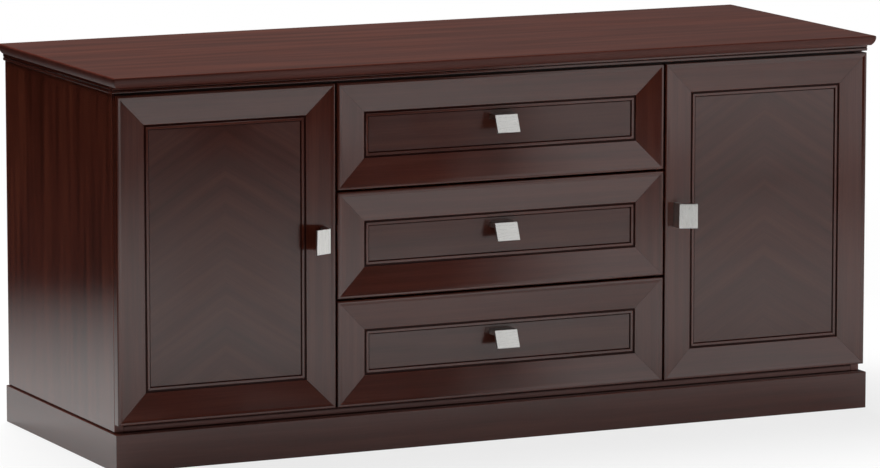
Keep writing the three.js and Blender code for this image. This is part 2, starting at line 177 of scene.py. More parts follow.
def eased(corners, steps=3):
    """Round each corner (across, deep, radius) of a section given in millimetres. Returns
    the points in metres and the mark of each: 1 on a narrow arris, painted paler as rubbed wear
    and a painted highlight; -1 in a sharp corner marked for painted shade; and 0 elsewhere."""
    points, wear_and_light = [], []
    for i, (across, deep, radius) in enumerate(corners):
        corner = Vector((across, deep))
        before = (Vector(corners[i - 1][:2]) - corner).normalized()
        after = (Vector(corners[(i + 1) % len(corners)][:2]) - corner).normalized()
        half = before.angle(after) / 2
        if radius in (0, PAINTED_SHADE_MARK):
            points.append(corner * MM)
            wear_and_light.append(float(radius))
            continue
        middle = corner + (before + after).normalized() * radius / math.sin(half)
        first = (corner + before * radius / math.tan(half) - middle).normalized()
        last = (corner + after * radius / math.tan(half) - middle).normalized()
        for step in range(steps + 1):
            points.append((middle + first.slerp(last, step / steps) * radius) * MM)
            wear_and_light.append(float(0 < step < steps and radius <= NARROW_ARRIS))
    return points, wear_and_light


def geometry_tree(name, result, inputs):
    """A new Geometry Nodes tree with these named inputs, and the identifiers of the inputs."""
    tree = bpy.data.node_groups.new(name, "GeometryNodeTree")
    sockets = {}
    for socket, kind in inputs.items():
        sockets[socket] = tree.interface.new_socket(
            socket, in_out="INPUT", socket_type=f"NodeSocket{kind}").identifier
    tree.interface.new_socket(result, in_out="OUTPUT", socket_type="NodeSocketGeometry")
    return tree, sockets


# The tree that makes every bar: it extrudes a section, then slants both ends for the mitre.
bar_tree, bar_sockets = geometry_tree("mitred_bar", "Bar", {
    "Section": "Geometry", "Length": "Float", "Mitre Slope": "Float", "Mitre Gap": "Float",
    "Grain Start": "Vector", "Finish": "Material"})
bar_in = add(bar_tree, "NodeGroupInput").outputs
along = add(bar_tree, "ShaderNodeCombineXYZ", {"Z": 1.0})
grown = add(bar_tree, "GeometryNodeExtrudeMesh", {
    "Mesh": bar_in["Section"], "Offset": along,
    "Offset Scale": bar_in["Length"], "Individual": False}, mode="FACES")
foot = add(bar_tree, "GeometryNodeFlipFaces", {"Mesh": bar_in["Section"]})
joined = add(bar_tree, "GeometryNodeJoinGeometry", {"Geometry": grown})
bar_tree.links.new(foot.outputs["Mesh"], joined.inputs["Geometry"])
closed = add(bar_tree, "GeometryNodeMergeByDistance", {
    "Geometry": joined, "Distance": 0.001 * MM})
place = add(bar_tree, "GeometryNodeInputPosition")
place = add(bar_tree, "ShaderNodeSeparateXYZ", {"Vector": place}).outputs
near = add(bar_tree, "ShaderNodeMath", {
    0: place["X"], 1: bar_in["Mitre Slope"], 2: bar_in["Mitre Gap"]}, operation="MULTIPLY_ADD")
far = add(bar_tree, "ShaderNodeMath", {
    0: bar_in["Length"], 1: near}, operation="SUBTRACT")
end = add(bar_tree, "ShaderNodeMath", {
    0: place["Z"], 1: bar_in["Length"]}, operation="DIVIDE")
slant = add(bar_tree, "ShaderNodeMapRange", {
    "Value": end, "To Min": near, "To Max": far})
mitred = add(bar_tree, "ShaderNodeCombineXYZ", {
    "X": place["X"], "Y": place["Y"], "Z": slant})
slanted = add(bar_tree, "GeometryNodeSetPosition", {
    "Geometry": closed, "Position": mitred})
own = add(bar_tree, "ShaderNodeCombineXYZ", {
    "X": place["Z"], "Y": place["X"], "Z": place["Y"]})
own = add(bar_tree, "ShaderNodeVectorMath", {0: own, 1: bar_in["Grain Start"]})
grained = add(bar_tree, "GeometryNodeStoreNamedAttribute", {
    "Geometry": slanted, "Name": "grain", "Value": own},
    data_type="FLOAT_VECTOR", domain="POINT")
wear_and_light_here = add(bar_tree, "GeometryNodeInputNamedAttribute", {"Name": "wear_and_painted_light"}, data_type="FLOAT")
rounded = add(bar_tree, "ShaderNodeMath", {
    0: wear_and_light_here, 1: 0.01}, operation="GREATER_THAN")
rounded = add(bar_tree, "ShaderNodeMath", {
    0: rounded, 1: grown.outputs["Side"]}, operation="MULTIPLY")
shaded = add(bar_tree, "GeometryNodeSetShadeSmooth", {
    "Geometry": grained, "Shade Smooth": rounded})
real = add(bar_tree, "GeometryNodeRealizeInstances", {"Geometry": shaded})
coated = add(bar_tree, "GeometryNodeSetMaterial", {
    "Geometry": real, "Material": bar_in["Finish"]})
add(bar_tree, "NodeGroupOutput", {"Bar": coated})


def new_object(name, data):
    """Put a new object with this data in the scene."""
    made = bpy.data.objects.new(name, data)
    bpy.context.scene.collection.objects.link(made)
    return made


def settle(made):
    """Give an object the plain mesh that its modifiers make of it."""
    graph = bpy.context.evaluated_depsgraph_get()
    made.data = bpy.data.meshes.new_from_object(made.evaluated_get(graph), depsgraph=graph)
    made.modifiers.clear()


def grow(name, mesh, tree, sockets, values):
    """A new object of what a tree makes of a mesh, with these values at the tree's inputs."""
    made = new_object(name, mesh)
    growth = made.modifiers.new(tree.name, "NODES")
    growth.node_group = tree
    for socket, value in values.items():
        growth[sockets[socket]] = value
    settle(made)
    return made


def placed(start, across, deep, run):
    """The matrix that sets a piece at start, with its own axes along these directions."""
    return Matrix.Translation(start) @ Matrix((across, deep, run)).transposed().to_4x4()


def grain_start(name):
    """Where in the log a piece was cut, so that no two pieces have the same figure."""
    log = random.Random(name)
    return Vector((log.uniform(0, 30), log.uniform(0, 3), log.uniform(0, 3)))


def bar(name, corners, low, high, inward, deep, finish, mitred=True):
    """One side of a frame that fills the box from low to high. The bar's section goes across
    along inward, from the frame's outer edge, and along deep, from the frame's face."""
    points, wear_and_light = eased(corners)
    section = bpy.data.meshes.new(name)
    section.from_pydata([(*point, 0) for point in points], [], [range(len(points))])
    section.attributes.new("wear_and_painted_light", "FLOAT", "POINT").data.foreach_set("value", wear_and_light)
    run = inward.cross(deep)
    made = grow(name, section, bar_tree, bar_sockets, {
        "Length": abs(run.dot(high - low)), "Mitre Slope": float(mitred),
        "Mitre Gap": MITRE_GAP if mitred else 0.0, "Grain Start": grain_start(name),
        "Finish": finish})
    way = inward + deep + run
    start = Vector(least if toward > 0 else most
                   for least, most, toward in zip(low, high, way))
    made.data.transform(placed(start, inward, deep, run))
    return made


def fit(made, body, node=None):
    """Let a finished piece ride on its body, in place of a CAD node."""
    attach(made, body)
    if node:
        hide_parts(node)


plinth_low = Vector((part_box("plinth_left")[0].x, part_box("plinth_front")[0].y, 0))
plinth_high = Vector((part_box("plinth_right")[1].x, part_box("plinth_back")[1].y,
                      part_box("plinth_front")[1].z))
plinth_high_mm = plinth_high.z / MM
plinth_thick = (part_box("plinth_left")[1].x - plinth_low.x) / MM
plinth_section = (
    (0, 0, HIDDEN_EASE), (plinth_thick, 0, HIDDEN_EASE),
    (plinth_thick, plinth_high_mm, HIDDEN_EASE), (0, plinth_high_mm, PLINTH_EASE))
for side, inward in (("front", BACK), ("back", -BACK), ("left", RIGHT), ("right", -RIGHT)):
    made = bar(f"plinth_{side}_board", plinth_section, plinth_low, plinth_high, inward, UP,
               mahogany_solid)
    fit(made, "carcass", f"plinth_{side}")


# Side panels. 18 mm boards veneered with mahogany, the grain upright, the edges lipped and
# eased, and the whole lacquered like the plinth. They stand on the plinth at each end.
SIDE_EASE = 1.2 * MM
# A face counts as flat, or takes the front lipping, by how squarely it faces that way.
FLAT, SIDE_LIPPED = 0.999, -0.9


def block(low, high):
    """A plain block between two corners."""
    wood = bmesh.new()
    size = Matrix.LocRotScale((low + high) / 2, None, high - low)
    bmesh.ops.create_cube(wood, size=1, matrix=size)
    return wood


def stock(name, low, high, along, ease):
    """A squared board with its arrises eased, and its grain along one of the three axes."""
    wood = block(low, high)
    bmesh.ops.bevel(wood, geom=wood.edges[:], offset=ease, segments=3, profile=0.5,
                    affect="EDGES")
    grain = wood.verts.layers.float_vector.new("grain")
    wear_and_painted_light = wood.verts.layers.float.new("wear_and_painted_light")
    start = grain_start(name)
    order = (along, (along + 1) % 3, (along + 2) % 3)
    # Eased arrises are marked to be painted paler, as rubbed wear and a painted highlight; flat
    # faces are not.
    for vert in wood.verts:
        vert[grain] = start + Vector(vert.co[axis] for axis in order)
        vert[wear_and_painted_light] = 1.0
    for face in wood.faces:
        flat = max(abs(turn) for turn in face.normal) > FLAT
        face.smooth = not flat
        for vert in face.verts if flat else ():
            vert[wear_and_painted_light] = 0.0
    return wood


def cut_out(name, wood, *finishes):
    """Make the board that was shaped an object, with its finishes."""
    mesh = bpy.data.meshes.new(name)
    wood.to_mesh(mesh)
    wood.free()
    for finish in finishes:
        mesh.materials.append(finish)
    return new_object(name, mesh)


ALONG_X, ALONG_Y, ALONG_Z = range(3)
# Sliced veneer: wider, livelier ribbons and open pores, under a fuller coat.
mahogany_veneer = mahogany("lacquered_mahogany_veneer", 24 * MM, "#3B180E", "#4F2217",
                           "#5E2D1E", 0.125, coat=0.2, open_pores=1.0)
# The lipping on the front edges is rubbed down satin, so it mirrors little of the floor.
# Where it is marked, it takes painted shade.
satin_lipping = mahogany("satin_mahogany_lipping", 16 * MM, "#5A2418", "#632B1E", "#6C3225",
                         0.35, coat=0.0, open_pores=0.3, painted_shade=True)
for hand in ("left", "right"):
    node = f"side_panel_{hand}"
    wood = stock(node, *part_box(node), ALONG_Z, SIDE_EASE)
    for face in wood.faces:
        face.material_index = int(face.normal.y < SIDE_LIPPED)
    made = cut_out(f"{node}_board", wood, mahogany_veneer, satin_lipping)
    fit(made, "carcass", node)


# Carcass bottom, top and partitions. 18 mm chipboard faced with brown melamine, with a strip
# of mahogany glued to each front edge. They are dowelled together and to the side panels.
BOARD_EASE, BOARD_LIPPED = 0.6 * MM, -0.5
# Bands of painted shade on the bottom's front edge, one along the plinth and one under the doors,
# and where each fades.
PLINTH_PAINTED_SHADE, PLINTH_PAINTED_SHADE_FADED = 0.8 * MM, 2.0 * MM
DOOR_PAINTED_SHADE_FADED, DOOR_PAINTED_SHADE = 8.0 * MM, 11.0 * MM
PAINTED_SHADE_SLACK = 0.1 * MM

faced_board = blank("melamine_faced_board")
# The printed paper under the resin gives a faint, even wood figure with a dull sheen.
tree = faced_board.node_tree
grain = add(tree, "ShaderNodeAttribute", attribute_name="grain").outputs["Vector"]
printed = streak(tree, grain, 200 * MM, 6 * MM, 5.0)
tint = add(tree, "ShaderNodeValToRGB", {"Fac": printed})
stops(tint, (0.3, "#5A3A2C"), (0.55, "#6E4A38"), (0.75, "#805947"))
# The pressed texture is about 0.5 mm in the real sheet, and is drawn at 1 mm.
pressed = add(tree, "ShaderNodeTexNoise", {
    "Vector": grain, "Scale": 1 / (1.0 * MM), "Detail": 1.0})
dull = add(tree, "ShaderNodeMapRange", {"Value": pressed, "To Min": 0.42, "To Max": 0.58})
dimple = add(tree, "ShaderNodeBump", {
    "Height": pressed, "Strength": 0.15, "Distance": 0.1 * MM})
skin = add(tree, "ShaderNodeBsdfPrincipled", {
    "Base Color": tint, "Roughness": dull, "IOR": 1.5, "Normal": dimple})
add(tree, "ShaderNodeOutputMaterial", {"Surface": skin})

# The lippings behind the doors are coloured almost black: painted shade, so the gaps read as
# shadow.
painted_shade_lipping = mahogany("painted_shade_mahogany_lipping", 16 * MM, "#1C0B07", "#241008", "#2C140D",
                           0.5, coat=0.0, open_pores=0.3)


def faced(node, along):
    """A faced board in a CAD node's place, with its front edge marked for the lipping."""
    wood = stock(node, *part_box(node), along, BOARD_EASE)
    for face in wood.faces:
        face.material_index = int(face.normal.y < BOARD_LIPPED)
    return wood


def slice_at(wood, point, way):
    """Add a line of edges all round a board, where a plane crosses it."""
    bmesh.ops.bisect_plane(wood, geom=wood.verts[:] + wood.edges[:] + wood.faces[:],
                           plane_co=point, plane_no=way)


# The bottom's front edge shows under the doors. It is painted dark along the plinth and
# behind the doors, at these heights from its lower face: painted shade.
wood = faced("bottom_panel", ALONG_X)
lower_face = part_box("bottom_panel")[0].z
for height in (PLINTH_PAINTED_SHADE, PLINTH_PAINTED_SHADE_FADED, DOOR_PAINTED_SHADE_FADED, DOOR_PAINTED_SHADE):
    slice_at(wood, UP * (lower_face + height), UP)
wear_and_painted_light = wood.verts.layers.float["wear_and_painted_light"]
for vert in wood.verts:
    height = vert.co.z - lower_face
    clear = PLINTH_PAINTED_SHADE + PAINTED_SHADE_SLACK < height < DOOR_PAINTED_SHADE - PAINTED_SHADE_SLACK
    vert[wear_and_painted_light] = 0.0 if clear else PAINTED_SHADE_MARK
made = cut_out("bottom_panel_board", wood, faced_board, satin_lipping)
fit(made, "carcass", "bottom_panel")

for node, along in (
    ("carcass_top", ALONG_X), ("partition_left", ALONG_Z), ("partition_right", ALONG_Z)):
    made = cut_out(f"{node}_board", faced(node, along), faced_board, painted_shade_lipping)
    fit(made, "carcass", node)


# Back. One sheet of 6 mm hardboard, brown and fibrous, smooth on the inside. It is let in
# between the sides and screwed to the back edges of the boards.
hardboard = blank("brown_hardboard")
# Pressed wood fibre: a mottled brown, with darker shives, and no sheen.
tree = hardboard.node_tree
spot = add(tree, "ShaderNodeTexCoord").outputs["Object"]
# Fibre bundles are 1 to 3 mm, and the clouds between them about 40 mm.
bundles = add(tree, "ShaderNodeTexNoise", {
    "Vector": spot, "Scale": 1 / (2.5 * MM), "Detail": 4.0, "Roughness": 0.7})
clouds = add(tree, "ShaderNodeTexNoise", {
    "Vector": spot, "Scale": 1 / (40 * MM), "Detail": 2.0})
mottle = add(tree, "ShaderNodeMath", {
    0: clouds, 1: 0.15, 2: bundles}, operation="MULTIPLY_ADD")
tint = add(tree, "ShaderNodeValToRGB", {"Fac": mottle})
stops(tint, (0.4, "#38241B"), (0.58, "#4E3427"), (0.76, "#644736"))
fuzz = add(tree, "ShaderNodeBump", {
    "Height": bundles, "Strength": 0.3, "Distance": 0.2 * MM})
dry = add(tree, "ShaderNodeMapRange", {"Value": bundles, "To Min": 0.65, "To Max": 0.85})
skin = add(tree, "ShaderNodeBsdfPrincipled", {
    "Base Color": tint, "Roughness": dry, "IOR": 1.5, "Normal": fuzz})
add(tree, "ShaderNodeOutputMaterial", {"Surface": skin})

made = cut_out("back_panel_sheet", stock("back", *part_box("back_panel"), ALONG_X, BOARD_EASE),
               hardboard)
fit(made, "carcass", "back_panel")


# Shelves. One faced board in each cupboard, set back from the doors, its front edge lipped.
# It is dowelled to the side panel and to the partition, and doesn't move.
for hand in ("left", "right"):
    node = f"shelf_{hand}"
    made = cut_out(f"{node}_board", faced(node, ALONG_X), faced_board, mahogany_solid)
    fit(made, "carcass", node)


# Runners. Planed beech strips, one on each side of each drawer, screwed to the partitions.
# The grooves in the drawer sides ride on them.
RUNNER_EASE = 1.0 * MM


def beech(name, ribbon_wide, pale, middle, dark):
    """Planed beech, wiped with clear sealer: pale straw brown, straight grain, and the short
    darker flecks of its rays all along it."""
    finish = blank(name)
    tree = finish.node_tree
    grain = add(tree, "ShaderNodeAttribute", attribute_name="grain").outputs["Vector"]
    # Ray flecks are 2 to 4 mm long and 0.3 mm wide; they are drawn twice as large to show.
    ring = streak(tree, grain, 600 * MM, ribbon_wide, 3.0)
    fleck = streak(tree, grain, 6 * MM, 0.9 * MM, 1.0)
    tint = add(tree, "ShaderNodeValToRGB", {"Fac": ring})
    stops(tint, (0.3, dark), (0.5, middle), (0.7, pale))
    flecks = add(tree, "ShaderNodeMapRange", {
        "Value": fleck, "From Min": 0.60, "From Max": 0.70, "To Max": 0.5})
    flecked = add(tree, "ShaderNodeMix", {
        MIX_BY: flecks, MIX_FROM: tint, MIX_TO: linear("#8A5C37")}, data_type="RGBA")
    planed = add(tree, "ShaderNodeMapRange", {"Value": ring, "To Min": 0.48, "To Max": 0.62})
    relief = add(tree, "ShaderNodeBump", {"Height": fleck, "Strength": 0.1, "Distance": 0.1 * MM})
    skin = add(tree, "ShaderNodeBsdfPrincipled", {
        "Base Color": flecked.outputs[MIXED], "Roughness": planed, "IOR": 1.5,
        "Normal": relief})
    add(tree, "ShaderNodeOutputMaterial", {"Surface": skin})
    return finish


beech_solid = beech("planed_beech", 7 * MM, "#CBA679", "#BC9466", "#A97F54")
RUNNERS = [f"runner_{level}_{hand}" for level in (1, 2, 3) for hand in ("left", "right")]
for node in RUNNERS:
    made = cut_out(f"{node}_strip", stock(node, *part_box(node), ALONG_Y, RUNNER_EASE), beech_solid)
    fit(made, "carcass", node)


# Moulding. Thin lacquered strips planted under the top, along the front and down both sides,
# with a rounded bead below a quirk that is painted dark as shade. They throw two lines of light
# below the top.
BEAD_TALL, BEAD_ROUND, BEAD_ARRIS = 6.0, 2.5, 1.0
MOULDING_QUIRK, QUIRK_ARRIS, GLUED_ARRIS = 1.5, 0.8, 0.3
for side, inward in (("front", BACK), ("left", RIGHT), ("right", -RIGHT)):
    node = f"moulding_{side}"
    low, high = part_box(node)
    thick = abs(inward.dot(high - low)) / MM
    tall = (high.z - low.z) / MM
    bead_top = tall - BEAD_TALL
    quirk_top = bead_top - MOULDING_QUIRK
    # The quirk's inner corners are marked for painted shade.
    moulding_section = (
        (0, 0, GLUED_ARRIS), (thick, 0, GLUED_ARRIS), (thick, tall, GLUED_ARRIS),
        (0, tall, BEAD_ROUND), (0, bead_top, BEAD_ARRIS), (MOULDING_QUIRK, bead_top, PAINTED_SHADE_MARK),
        (MOULDING_QUIRK, quirk_top, PAINTED_SHADE_MARK), (0, quirk_top, QUIRK_ARRIS))
    made = bar(f"{node}_strip", moulding_section, low, high, inward, -UP, mahogany_solid,
               mitred=False)
    fit(made, "carcass", node)


# Top. A 19 mm veneered board with a duller solid lipping, its upper arris rounded, its edge
# turned under in one slow curve, and its corners taken off a little. Screwed from inside.
TOP_ROUND, TOP_UNDERCUT, TOP_CORNER = 3 * MM, 7 * MM, 3 * MM
TOP_ARC_STEPS, CORNER_STEPS = 8, 4
# The top's veneer is broad and paler, with a full coat; its lipping is rubbed dull.
top_veneer = mahogany("lacquered_mahogany_top", 28 * MM, "#49210F", "#562819", "#633120", 0.14,
                      coat=0.25, open_pores=0.4)
lipping = mahogany("mahogany_edge_lipping", 16 * MM, "#411910", "#491E14", "#51241A", 0.45,
                   coat=0.0, open_pores=0.3, gloss=0.25)

low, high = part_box("top_panel")
middle, reach = (low + high) / 2, (high - low) / 2
under_turn = 2 * math.atan(TOP_UNDERCUT / (high.z - low.z - TOP_ROUND))
under_radius = TOP_UNDERCUT / (1 - math.cos(under_turn))
# Each step of the edge is how far it lies in from the rim, and how far down from the face.
top_edge = []
for step in range(TOP_ARC_STEPS + 1):
    turn = math.pi / 2 * step / TOP_ARC_STEPS
    top_edge.append((TOP_ROUND * (1 - math.sin(turn)), TOP_ROUND * (1 - math.cos(turn))))
for step in range(1, TOP_ARC_STEPS + 1):
    turn = under_turn * step / TOP_ARC_STEPS
    top_edge.append((under_radius * (1 - math.cos(turn)),
                     TOP_ROUND + under_radius * math.sin(turn)))

wood = bmesh.new()
grain = wood.verts.layers.float_vector.new("grain")
wood.verts.layers.float.new("wear_and_painted_light")
rings = []
for inset, down in top_edge:
    rings.append([])
    for quarter, (toward_x, toward_y) in enumerate(((1, 1), (-1, 1), (-1, -1), (1, -1))):
        for step in range(CORNER_STEPS + 1):
            turn = math.pi / 2 * (quarter + step / CORNER_STEPS)
            across = toward_x * (reach.x - inset - TOP_CORNER) + TOP_CORNER * math.cos(turn)
            deep = toward_y * (reach.y - inset - TOP_CORNER) + TOP_CORNER * math.sin(turn)
            rings[-1].append(wood.verts.new((middle.x + across, middle.y + deep, high.z - down)))
for above, below in zip(rings, rings[1:]):
    for i in range(len(above)):
        wood.faces.new((above[i - 1], below[i - 1], below[i], above[i]))
wood.faces.new(rings[0])
wood.faces.new(rings[-1][::-1])
wood.normal_update()
for vert in wood.verts:
    vert[grain] = grain_start("top") + vert.co
for face in wood.faces:
    face.smooth = abs(face.normal.z) < FLAT
    face.material_index = int(face.smooth)
made = cut_out("top_panel_board", wood, top_veneer, lipping)
fit(made, "carcass", "top_panel")


# Drawer boxes. Four 15 mm beech boards glued up at the corners, the sides grooved for the
# runners, and a thin plywood bottom let in above their lower edge.
BOX_WALL = 15 * MM
BOX_EASE = 1.5 * MM
GROOVE_DEEP = 7.3 * MM
GROOVE_SPARE = 0.3 * MM
GROOVE_STOP = 2 * MM
PLY_EASE = 0.5 * MM

# Peeled veneer for plywood, so its figure is broad and pale.
beech_ply = beech("beech_plywood", 30 * MM, "#D0AE84", "#C29C70", "#B28A5E")


def cut(made, *tools):
    """Take the shapes of the tools out of a piece, and put the tools away."""
    for tool in tools:
        bite = made.modifiers.new("cut", "BOOLEAN")
        bite.operation = "DIFFERENCE"
        bite.solver = "EXACT"
        bite.object = tool
    settle(made)
    for tool in tools:
        bpy.data.objects.remove(tool)


for level in (1, 2, 3):
    drawer = f"drawer_{level}"
    low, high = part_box(f"{drawer}_box")
    inner_low = low + Vector((BOX_WALL, BOX_WALL, 0))
    inner_high = high - Vector((BOX_WALL, BOX_WALL, 0))
    boards = {
        "side_left": (low, Vector((inner_low.x, high.y, high.z)), ALONG_Y),
        "side_right": (Vector((inner_high.x, low.y, low.z)), high, ALONG_Y),
        "inner_front": (Vector((inner_low.x, low.y, low.z)),
                        Vector((inner_high.x, inner_low.y, high.z)), ALONG_X),
        "box_back": (Vector((inner_low.x, inner_high.y, low.z)),
                     Vector((inner_high.x, high.y, high.z)), ALONG_X),
    }
    for board, (board_low, board_high, along) in boards.items():
        name = f"{drawer}_{board}"
        made = cut_out(name, stock(name, board_low, board_high, along, BOX_EASE), beech_solid)
        if board.startswith("side"):
            hand = board.split("_")[1]
            runner_low, runner_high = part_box(f"runner_{level}_{hand}")
            spare = Vector((0, GROOVE_STOP, GROOVE_SPARE))
            groove_low = runner_low - spare
            groove_high = Vector((runner_high.x, high.y + BOX_WALL, runner_high.z + GROOVE_SPARE))
            if hand == "left":
                groove_high.x = low.x + GROOVE_DEEP
            else:
                groove_low.x = high.x - GROOVE_DEEP
            cut(made, cut_out(f"{name}_groove", block(groove_low, groove_high)))
        fit(made, drawer, f"{drawer}_box")
    node = f"{drawer}_bottom"
    made = cut_out(f"{node}_sheet", stock(node, *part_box(node), ALONG_X, PLY_EASE), beech_ply)
    fit(made, drawer, node)


# Front frames. Each door and drawer front has four mahogany bars, mitred at the corners: a
# flat outer lip, a face that dishes inwards, a quirk and a bead. Stained, glued and lacquered.
# The section in millimetres: in from the outer edge, back from the face, and the rounding.
FRAME_LIP = (0, 0, 2.5), (5, 0, 2.0), (9.5, 1.2, 2.0)
# The quirk's floor and the foot of the bead's inner slope are marked for painted shade: dark lines
# where shade falls.
FRAME_QUIRK = (58.5, 6.3, 0.5), (58.5, 8.5, PAINTED_SHADE_MARK), (62.5, 8.5, PAINTED_SHADE_MARK)
FRAME_BEAD = (62.5, 6.5, 0.8), (67.2, 6.5, 0.5), (67.8, 7, PAINTED_SHADE_MARK), (69.5, 8.7, PAINTED_SHADE_MARK)
FRAME_GROOVE = (63.2, 8.7, 0), (63.2, 17.3, 0), (69.5, 17.3, 0)
FRAME_BACK = (69.5, 20, 1.0), (0, 20, 1.0)
FRAME_SECTION = FRAME_LIP + FRAME_QUIRK + FRAME_BEAD + FRAME_GROOVE + FRAME_BACK
FRAME_SIDES = {"left": RIGHT, "top": -UP, "right": -RIGHT, "bottom": UP}
DOOR_MEMBERS = {
    "left": {"left": "hinge_stile", "top": "top_rail", "right": "meeting_stile",
             "bottom": "bottom_rail"},
    "right": {"left": "meeting_stile", "top": "top_rail", "right": "hinge_stile",
              "bottom": "bottom_rail"},
}
CUP_PLACES = ("lower", "upper")
CUP_BORE_SPARE = 0.3 * MM
CUP_BORE_SIDES = 48


def drill_bit(name, middle, radius, depth, sides):
    """A round bit that points along y, to cut a bore with."""
    bit = bmesh.new()
    bmesh.ops.create_cone(
        bit, cap_ends=True, segments=sides, radius1=radius, radius2=radius, depth=depth,
        matrix=Matrix.Translation(middle) @ Matrix.Rotation(math.pi / 2, 4, "X"))
    return cut_out(name, bit)


for hand, members in DOOR_MEMBERS.items():
    door = f"{hand}_door"
    corners = [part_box(f"{door}_{member}") for member in members.values()]
    low = Vector(min(corner[0][axis] for corner in corners) for axis in range(3))
    high = Vector(max(corner[1][axis] for corner in corners) for axis in range(3))
    for side, member in members.items():
        node = f"{door}_{member}"
        made = bar(f"{node}_bar", FRAME_SECTION, low, high, FRAME_SIDES[side], BACK,
                   mahogany_solid)
        if member == "hinge_stile":
            bits = []
            for level in CUP_PLACES:
                cup_low, cup_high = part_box(f"{door}_hinge_cup_{level}")
                radius = (cup_high.x - cup_low.x) / 2 + CUP_BORE_SPARE
                depth = 2 * (cup_high.y - cup_low.y)
                middle = (cup_low + cup_high) / 2
                middle.y = cup_high.y
                bits.append(drill_bit(f"{node}_bit_{level}", middle, radius, depth, CUP_BORE_SIDES))
            cut(made, *bits)
        fit(made, door, node)

for level in (1, 2, 3):
    drawer = f"drawer_{level}"
    low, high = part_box(f"{drawer}_frame")
    for side, inward in FRAME_SIDES.items():
        made = bar(f"{drawer}_frame_{side}", FRAME_SECTION, low, high, inward, BACK,
                   mahogany_solid)
        fit(made, drawer, f"{drawer}_frame")


# Panels. 8 mm boards held in the frames' grooves. The drawers' veneer runs across. The doors'
# is laid in two matched leaves that slope down from a seam in the middle.
PANEL_EASE, PANEL_TONGUE, RIM_PAINTED_SHADE = 0.5 * MM, 6 * MM, 0.8 * MM
CHEVRON_SLOPE = math.radians(32)
# Finely striped veneer, dark and even, with no second coat, and painted shade where it is
# marked.
panel_veneer = mahogany("satin_mahogany_veneer", 18 * MM, "#38180F", "#401C14", "#482319", 0.16,
                        coat=0.0, open_pores=0.3, painted_shade=True)


def panel_board(node):
    """A panel's board, with painted shade along the bead on its face."""
    wood = stock(node, *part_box(node), ALONG_X, PANEL_EASE)
    grain = wood.verts.layers.float_vector["grain"]
    wear_and_painted_light = wood.verts.layers.float["wear_and_painted_light"]
    face = min(wood.faces, key=lambda side: side.normal.y)
    # A narrow rim next to the bead is marked for painted shade, fading out onto the panel.
    for inset, painted_shade in ((PANEL_TONGUE, PAINTED_SHADE_MARK), (RIM_PAINTED_SHADE, 0.0)):
        bmesh.ops.inset_individual(wood, faces=[face], thickness=inset)
        for vert in face.verts:
            vert[grain] = grain_start(node) + vert.co
            vert[wear_and_painted_light] = painted_shade
    return wood


for level in (1, 2, 3):
    node = f"drawer_{level}_panel"
    made = cut_out(f"{node}_board", panel_board(node), panel_veneer)
    fit(made, f"drawer_{level}", node)

for hand in ("left", "right"):
    node = f"{hand}_door_panel"
    low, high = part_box(node)
    seam = (low + high) / 2
    wood = panel_board(node)
    slice_at(wood, seam, RIGHT)
    grain = wood.verts.layers.float_vector["grain"]
    start = grain_start(node)
    for vert in wood.verts:
        out, rise = abs(vert.co.x - seam.x), vert.co.z
        vert[grain] = start + Vector((
            out * math.cos(CHEVRON_SLOPE) - rise * math.sin(CHEVRON_SLOPE),
            out * math.sin(CHEVRON_SLOPE) + rise * math.cos(CHEVRON_SLOPE), vert.co.y))
    made = cut_out(f"{node}_board", wood, panel_veneer)
    fit(made, f"{hand}_door", node)


# Pulls. One on each front: a leg that stands out, and a flat plate that leans away from it.
# Cast zinc, satin nickel plated, held by two screws from the back.
PULL_EASE = 0.6
PULL_LEAN = math.radians(22)
PULL_PLATE, PULL_THICK, PULL_STAND, PULL_LEG = 36, 4, 24, 10
PULL_LONG = 48 * MM
INNER_ROUND = 1.5
# The door's face falls this much across a pull's leg, and the leg's foot is cut to fit.
SEAT_FALL = 1.04

satin_nickel = blank("satin_nickel")
# Plated and brushed lengthways: a soft pale metal with fine streaks in its gloss.
tree = satin_nickel.node_tree
grain = add(tree, "ShaderNodeAttribute", attribute_name="grain").outputs["Vector"]
wear_and_painted_light = add(tree, "ShaderNodeAttribute", attribute_name="wear_and_painted_light").outputs["Fac"]
# Brush lines are under 0.1 mm apart on the real plate, and are drawn at 0.4 mm.
lines = streak(tree, grain, 25 * MM, 0.4 * MM, 2.0)
tint = add(tree, "ShaderNodeValToRGB", {"Fac": lines})
stops(tint, (0.3, "#C4C3C0"), (0.7, "#DAD9D6"))
# The eased arrises are painted paler: a painted highlight along the pull's edges.
bright = add(tree, "ShaderNodeMix", {
    MIX_BY: wear_and_painted_light, MIX_FROM: tint, MIX_TO: linear("#E4E3E0")}, data_type="RGBA")
gloss = add(tree, "ShaderNodeMapRange", {"Value": lines, "To Min": 0.22, "To Max": 0.36})
scratch = add(tree, "ShaderNodeBump", {"Height": lines, "Strength": 0.06, "Distance": 0.05 * MM})
skin = add(tree, "ShaderNodeBsdfPrincipled", {
    "Base Color": bright.outputs[MIXED], "Metallic": 1.0, "Roughness": gloss,
    "Normal": scratch})
add(tree, "ShaderNodeOutputMaterial", {"Surface": skin})


